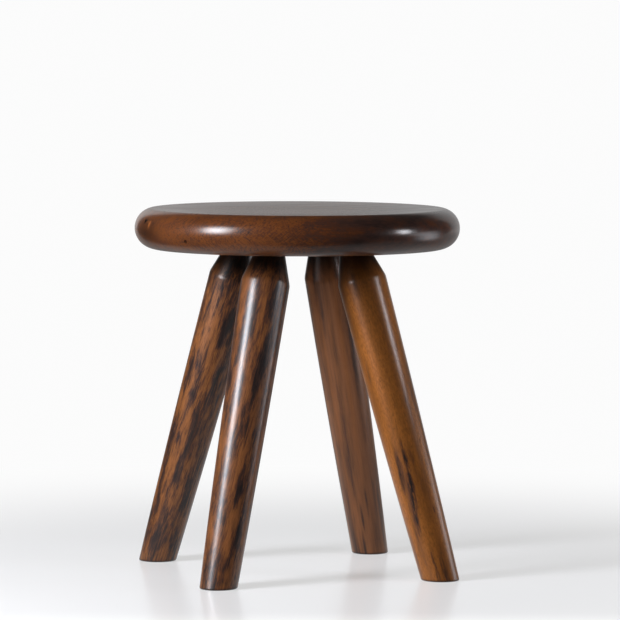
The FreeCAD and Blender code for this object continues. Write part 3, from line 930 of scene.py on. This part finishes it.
def brown_leg_wood(woods, place):
    """Mid-brown wood with fine dark lines."""
    material, n = new_material("brown leg wood")
    straight = along_leg(n, place)
    space = swayed(n, straight, BROWN_SWAY)
    fibre = grain(n, space, BROWN_FIBRE)
    figure = n.total(
        grain(n, space, BROWN_BAND),
        weighed(n, space, BROWN_LINE),
        about(n, fibre, BROWN_FIBRE.weight),
        marked(n, space, LEG_MARKS[place.name], SKIN_REACH, taper=SKIN_TAPER),
    )
    tone = toned(n, figure, woods, BROWN_TONES)
    rough = by_noise(n, fibre, BROWN_FINISH.rough, smooth=True)
    # The shade under the seat and at the foot is painted in
    lacquered(n, tone, fibre, rough, BROWN_FINISH, painted_end_shade(n, straight, place))
    return material


LEG_WOODS = {
    "front_left": ("streaked_leg_wood", streaked_leg_wood),
    "back_left": ("streaked_leg_wood", streaked_leg_wood),
    "front_right": ("golden_leg_wood", golden_leg_wood),
    "back_right": ("brown_leg_wood", brown_leg_wood),
}


# Woods of the seat and the wedges

SEAT_FINISH = Finish((0.82, 1.18), None, 0.24, 0.60, 0.13)
SEAT_BAND = Grain(11, 190, 3.0, 0.55, 0.65)
SEAT_LINE = Grain(1.6, 40, 3.0, 0.6, 0.45)
SEAT_FLECK = Grain(0.8, 9, 3.0, 0.6)
SEAT_HATCH = Grain(0.9, 34, 1.0, 0.5, 1.6)
SEAT_CLOUD = Grain(16, 16, 2.0, 0.5, 0.40)
SEAT_MOTTLE = Grain(3.5, 3.5, 3.0, 0.6, 0.60)
SEAT_BROAD = Grain(16, 90, 4.0, 0.65, 0.34)
SEAT_LEVEL = 0.34
SEAT_DARKS = (Tone(0.46, "seat_red"), Tone(0.70, "seat_dark"), Tone(0.95, "ebony"))
SEAT_TONES = (Tone(0.14, "seat_amber", 1.2), Tone(0.30, "seat_amber"), *SEAT_DARKS)
HATCH_TILT = math.radians(50)

# Dark heartwood: the way it lies across the seat, its edge, how band and line move that, its weight
HEART_WAY = (0.82, -0.57)
HEART_EDGE = (0.02, 0.14)
HEART_STRAY = (0.10, 0.05)
HEART_WEIGHT = 0.34

# Marks of the seat's edge, its figure and a dark spot at the upper worm hole: by millimetres below its
# girth and degrees round
SEAT_REACH = 200
SEAT_MARKS = [
    Mark(-11.9, 184.3, 2.6, 5, 1.20),
    Mark(-9, 188.6, 8, 4, -0.95),
    Mark(2, 186, 18, 44, 0.54),
    Mark(8, 274, 7, 30, 0.16),
    Mark(-17, 216, 6, 30, 0.20),
    Mark(6, 236, 9, 26, -0.05),
]
SEAT_MARK_SPAN = (-0.6, 0.9)
SEAT_MARK_SHADE = (1.7, 0.05)
# Darker round each worm hole's mouth, fading out between these distances
HOLE_DARK_SPAN = (2.2 * MM, 4.0 * MM)
HOLE_DARK = 0.06

# Gloss of the seat: a matt middle of the dish and a polished edge, by distance from the axis
DISH_WORN = (0.06, 0.18)
DISH_ROUGH = (0.60, 0.31)
EDGE_POLISH = (0.180, 0.190)
EDGE_ROUGH = 0.28

BARE_FINISH = Finish((0.75, 1.15), (0.55, 0.7), 0.50, 0.0, 0.31)
WEDGE_FIBRE = Grain(0.5, 12, 3.0, 0.6)


def seat_wood(woods, seat):
    """Red-brown, cross-hatched wood that darkens to black-brown heartwood on one side."""
    material, n = new_material("seat wood")
    here = n.here()
    x, y, z = n.split(here)
    space = n.join(y, z, x)
    band = grain(n, space, SEAT_BAND)
    line = grain(n, space, SEAT_LINE)
    fleck = grain(n, space, SEAT_FLECK)
    reach = n.total(n.product(x, HEART_WAY[0]), n.product(y, HEART_WAY[1]))
    edge = n.total(reach, about(n, band, HEART_STRAY[0]), about(n, line, HEART_STRAY[1]))
    heart = n.ramp(edge, *HEART_EDGE)
    girth = n.math("SUBTRACT", z, seat.underside_up + seat.girth_up)
    marks = marked(n, n.join(x, y, girth), SEAT_MARKS, SEAT_REACH)
    hatch = 0.0
    for tilt in (HATCH_TILT, -HATCH_TILT):
        turned = n.mapped(here, "TEXTURE", Rotation=(0.0, tilt, FACE_TURN))
        hatch = n.total(weighed(n, turned, SEAT_HATCH), hatch)
    figure = n.total(
        n.product(heart, HEART_WEIGHT),
        about(n, band, SEAT_BAND.weight),
        about(n, line, SEAT_LINE.weight),
        n.product(n.total(hatch, weighed(n, here, SEAT_MOTTLE)), n.beside(heart)),
        weighed(n, here, SEAT_CLOUD),
        n.math("MINIMUM", marks, 0.0),
        SEAT_LEVEL,
    )
    shades = [n.ramp(marks, *SEAT_MARK_SPAN, *SEAT_MARK_SHADE, smooth=False)]
    # Darker round each worm hole's mouth
    for mouth in pinhole_mouths(seat):
        shades.append(n.ramp(n.away(here, mouth), *HOLE_DARK_SPAN, HOLE_DARK, 1.0))
    from_axis = n.from_axis(x, y)
    worn = n.total(n.ramp(from_axis, *DISH_WORN, *DISH_ROUGH), weighed(n, space, SEAT_BROAD))
    rough = n.mix(n.ramp(from_axis, *EDGE_POLISH), worn, EDGE_ROUGH)
    lacquered(n, toned(n, figure, woods, SEAT_TONES), fleck, rough, SEAT_FINISH, *shades)
    return material


def wedge_wood(woods):
    """Bare pale hardwood."""
    material, n = new_material("wedge wood")
    fibre = grain(n, n.here(), WEDGE_FIBRE)
    rough = by_noise(n, fibre, BARE_FINISH.rough, smooth=True)
    lacquered(n, woods.wedge_pale, fibre, rough, BARE_FINISH)
    return material


# The studio

FLOOR_RADIUS = 12.0
FLOOR_STEPS = 96
FLOOR_WHITE = (0.98, 0.98, 0.985)
FLOOR_FADE = (0.35, 1.25)
FLOOR_LIT = 0.50
FLOOR_GLOW = 1.36
FLOOR_GLOSS = 0.36
FLOOR_ROUGH = 0.22
PAPER_BOUNCE = (0.48, 0.48, 0.48)
DARK_ROOM = 0.04
SENSOR = 36.0
CLIP_DISTANCES = 10

# The paper as reflections show it: its edges seen from the camera, and its levels by distance
PAPER_LEFT = -0.45
PAPER_RIGHT = 0.90
PAPER_FRONT = -0.45
PAPER_EDGE = 0.08
PAPER_SPREAD = (0.36, 0.80)
FLOOR_MIRRORED = (0.55, 0.24, 0.50)
FLOOR_NEAR = (0.30, 0.90)
FLOOR_FAR = (1.6, 6.0)

# The backdrop as reflections show it: its edges, and its levels from left to right
BACKDROP_LEFT = math.radians(-22)
BACKDROP_MIDDLE = math.radians(-5)
BACKDROP_RIGHT = math.radians(39)
BACKDROP_EDGE = math.radians(3.5)
BACKDROP_TOP = (math.radians(22), math.radians(36))
BACKDROP_MIRRORED = (0.78, 0.50, 0.42)

# Lamps: degrees right of the camera, metres from the stool's axis, height, breadth and tallness
Lamp = namedtuple("Lamp", "side away up broad tall")
LAMPS = {
    "key": Lamp(-57, 1.45, 0.90, 0.80, 1.20),
    "wash": Lamp(-62, 2.20, 0.75, 3.40, 2.20),
    "strip": Lamp(70, 0.66, 0.50, 0.19, 0.25),
    "fill": Lamp(97, 2.00, 0.27, 1.70, 0.80),
    "bounce": Lamp(98, 0.87, 0.20, 0.56, 0.40),
}
MIRRORED_ONLY = {"wash"}
COOL_WHITE = (0.92, 0.94, 1.0)
LAMP_AIM = Vector((0, 0, 0.3))
LAMP_SOFT = 0.50


def facing_camera(n, vector, studio):
    """Coordinates turned about the upright so that Y runs away from the camera."""
    turn = {"Vector": vector, "Angle": -studio.azimuth}
    return n.split(n.out("ShaderNodeVectorRotate", turn, rotation_type="Z_AXIS"))


def edge_at(n, value, place, soft, start=0.0, end=1.0):
    """A soft edge at a place."""
    return n.ramp(value, place - soft, place + soft, start, end)


def floor_paper(studio):
    """White paper: it keeps the stool's shadow near by, and fades into the backdrop further off."""
    material, n = new_material("floor paper")
    here = n.here()
    right, back, _ = facing_camera(n, here, studio)
    away = n.away(here)
    behind = n.math("MAXIMUM", back, 0.0)
    leftward = n.total(right, n.product(behind, PAPER_SPREAD[0]))
    rightward = n.math("SUBTRACT", right, n.product(behind, PAPER_SPREAD[1]))
    paper = n.product(
        edge_at(n, leftward, PAPER_LEFT, PAPER_EDGE),
        edge_at(n, rightward, PAPER_RIGHT, PAPER_EDGE, 1.0, 0.0),
        edge_at(n, back, PAPER_FRONT, PAPER_EDGE),
    )
    path = n.add("ShaderNodeLightPath").outputs
    lit = n.product(n.ramp(away, *FLOOR_FADE, start=FLOOR_LIT, end=0.0), path["Is Camera Ray"])
    beside, between, beyond = FLOOR_MIRRORED
    bright = n.ramp(away, *FLOOR_FAR, between, beyond, smooth=False)
    bright = n.ramp(away, *FLOOR_NEAR, beside, bright)
    mirrored = n.ramp(paper, 0.0, 1.0, DARK_ROOM, bright, smooth=False)
    shown = n.ramp(away, *FLOOR_FADE, FLOOR_GLOW, studio.white)
    level = n.mix(path["Is Glossy Ray"], shown, mirrored)
    seen = n.math("MAXIMUM", path["Is Camera Ray"], path["Is Glossy Ray"])
    plain = n.math("MAXIMUM", n.beside(seen), n.product(lit, paper))
    tone = n.blend(path["Is Diffuse Ray"], FLOOR_WHITE, PAPER_BOUNCE)
    matt = n.out("ShaderNodeBsdfDiffuse", {"Color": tone})
    glow = n.out("ShaderNodeEmission", {"Strength": level})
    surface = n.out("ShaderNodeMixShader", {0: plain, 1: glow, 2: matt})
    gloss = {"Color": paint(PURE_WHITE), "Roughness": FLOOR_ROUGH}
    sheen = n.out("ShaderNodeBsdfAnisotropic", gloss)
    near = n.product(n.ramp(away, *FLOOR_FADE, start=FLOOR_GLOSS, end=0.0), path["Is Camera Ray"])
    surface = n.out("ShaderNodeMixShader", {0: near, 1: surface, 2: sheen})
    n.add("ShaderNodeOutputMaterial", {"Surface": surface})
    return material


def light_studio(studio):
    """The room: a white backdrop behind the stool, dark towards the camera, and even ambient light."""
    world = bpy.data.worlds.new("studio")
    bpy.context.scene.world = world
    world.use_nodes = True
    world.node_tree.nodes.clear()
    n = Nodes(world.node_tree)
    x, y, z = facing_camera(n, n.add("ShaderNodeTexCoord").outputs["Generated"], studio)
    side = n.math("ARCTAN2", x, y)
    up = n.math("ARCSINE", z)
    sweep = n.product(
        edge_at(n, side, BACKDROP_LEFT, BACKDROP_EDGE),
        edge_at(n, side, BACKDROP_RIGHT, BACKDROP_EDGE, 1.0, 0.0),
        n.ramp(up, *BACKDROP_TOP, 1.0, 0.0),
    )
    path = n.add("ShaderNodeLightPath").outputs
    room = n.mix(path["Is Glossy Ray"], studio.ambient, DARK_ROOM)
    bright, middle, dim = BACKDROP_MIRRORED
    sheet = n.ramp(side, BACKDROP_MIDDLE, BACKDROP_RIGHT, middle, dim, smooth=False)
    sheet = n.ramp(side, BACKDROP_LEFT, BACKDROP_MIDDLE, bright, sheet, smooth=False)
    seen = n.math("MAXIMUM", path["Is Camera Ray"], path["Is Transmission Ray"])
    level = n.mix(seen, n.mix(sweep, room, sheet), studio.white)
    back = n.out("ShaderNodeBackground", {"Color": paint(PURE_WHITE), "Strength": level})
    n.add("ShaderNodeOutputWorld", {"Surface": back})


def hang_lamp(name, studio):
    """A soft-edged light that faces the stool."""
    place = LAMPS[name]
    heading = studio.azimuth + math.radians(place.side)
    spot = Vector((math.sin(heading) * place.away, -math.cos(heading) * place.away, place.up))
    lamp = bpy.data.lights.new(name, "AREA")
    lamp.shape = "RECTANGLE"
    lamp.size = place.broad
    lamp.size_y = place.tall
    lamp.energy = getattr(studio, name) * place.broad * place.tall * math.pi
    lamp.color = COOL_WHITE
    lamp.use_nodes = True
    lamp.node_tree.nodes.clear()
    n = Nodes(lamp.node_tree)
    level = 1.0
    for across in n.split(n.add("ShaderNodeNewGeometry").outputs["Parametric"])[:2]:
        level = n.product(n.ramp(across, 0.0, LAMP_SOFT), level)
        level = n.product(n.ramp(across, 1.0 - LAMP_SOFT, 1.0, 1.0, 0.0), level)
    glow = n.out("ShaderNodeEmission", {"Strength": level})
    n.add("ShaderNodeOutputLight", {"Surface": glow})
    hung = new_object(name, lamp)
    hung.location = spot
    hung.visible_diffuse = name not in MIRRORED_ONLY
    hung.rotation_euler = (spot - LAMP_AIM).to_track_quat("Z", "Y").to_euler()


def set_camera(studio):
    """The camera at the photograph's viewpoint."""
    lens = bpy.data.cameras.new("camera")
    lens.sensor_width = SENSOR
    lens.lens = studio.lens
    lens.clip_end = CLIP_DISTANCES * studio.distance
    camera = new_object("camera", lens)
    around = Matrix.Rotation(studio.azimuth, 4, "Z")
    camera.location = around @ Vector((0, -studio.distance, studio.height))
    aim = Matrix.Rotation(studio.azimuth - studio.yaw, 4, "Z")
    aim = aim @ Matrix.Rotation(math.pi / 2 - studio.pitch, 4, "X")
    aim = aim @ Matrix.Rotation(studio.roll, 4, "Z")
    camera.rotation_euler = aim.to_euler()
    bpy.context.scene.camera = camera


# Operators


class STOOL_OT_seat(bpy.types.Operator):
    """Make the dished seat with its mortises"""

    bl_idname = "stool.seat"
    bl_label = "Make seat"

    def execute(self, context):
        scene = context.scene
        wood = seat_wood(scene.stool_woods, scene.stool_seat)
        piece = make_seat(scene.stool_seat, scene.stool_legs, wood)
        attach(piece, BODY)
        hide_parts("seat")
        return {"FINISHED"}


class STOOL_OT_legs(bpy.types.Operator):
    """Make the four turned legs with their tenons"""

    bl_idname = "stool.legs"
    bl_label = "Make legs"

    def execute(self, context):
        scene = context.scene
        tree = turned_leg_tree()
        for seed, place in enumerate(leg_places(scene.stool_legs, scene.stool_seat.underside_up)):
            slot, make_wood = LEG_WOODS[place.name]
            wood = make_wood(scene.stool_woods, place)
            settings = leg_settings(scene.stool_legs, place, wood, float(seed))
            piece = made_by_nodes(f"{place.name}_leg", tree, settings)
            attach(piece, BODY)
            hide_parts(f"leg_{place.name}")
        return {"FINISHED"}


class STOOL_OT_wedges(bpy.types.Operator):
    """Give the hidden wedges their bare wood"""

    bl_idname = "stool.wedges"
    bl_label = "Finish wedges"

    def execute(self, context):
        wood = wedge_wood(context.scene.stool_woods)
        for name in FEET:
            wedge = frame["nodes"][f"wedge_{name}"]
            wedge.data.materials.clear()
            wedge.data.materials.append(wood)
        return {"FINISHED"}


class STOOL_OT_stage(bpy.types.Operator):
    """Set up the white floor, the lights and the camera"""

    bl_idname = "stool.stage"
    bl_label = "Set stage"

    def execute(self, context):
        studio = context.scene.stool_studio
        shape = bmesh.new()
        bmesh.ops.create_circle(shape, cap_ends=True, segments=FLOOR_STEPS, radius=FLOOR_RADIUS)
        mesh = finished_mesh(shape, "floor")
        mesh.materials.append(floor_paper(studio))
        new_object("floor", mesh)
        light_studio(studio)
        for name in LAMPS:
            hang_lamp(name, studio)
        set_camera(studio)
        context.scene.view_settings.view_transform = "Standard"
        return {"FINISHED"}


class STOOL_PT_sidebar(bpy.types.Panel):
    """The stool's steps and sizes in the sidebar"""

    bl_idname = "STOOL_PT_sidebar"
    bl_label = "Wooden stool"
    bl_space_type = "VIEW_3D"
    bl_region_type = "UI"
    bl_category = "Stool"

    def draw(self, context):
        for step in OPERATORS:
            self.layout.operator(step.bl_idname)
        for attribute in SETTINGS:
            box = self.layout.box()
            group = getattr(context.scene, attribute)
            for name in group.__annotations__:
                box.prop(group, name)


OPERATORS = (STOOL_OT_stage, STOOL_OT_seat, STOOL_OT_legs, STOOL_OT_wedges)
SETTINGS = {
    "stool_seat": StoolSeat,
    "stool_legs": StoolLegs,
    "stool_woods": StoolWoods,
    "stool_studio": StoolStudio,
}
CLASSES = (*SETTINGS.values(), *OPERATORS, STOOL_PT_sidebar)


def register():
    for item in CLASSES:
        bpy.utils.register_class(item)
    for attribute, group in SETTINGS.items():
        setattr(bpy.types.Scene, attribute, PointerProperty(type=group))


def unregister():
    for attribute in SETTINGS:
        delattr(bpy.types.Scene, attribute)
    for item in reversed(CLASSES):
        bpy.utils.unregister_class(item)


def main():
    register()
    bpy.ops.stool.stage()
    bpy.ops.stool.seat()
    bpy.ops.stool.legs()
    bpy.ops.stool.wedges()


if __name__ == "__main__":
    main()
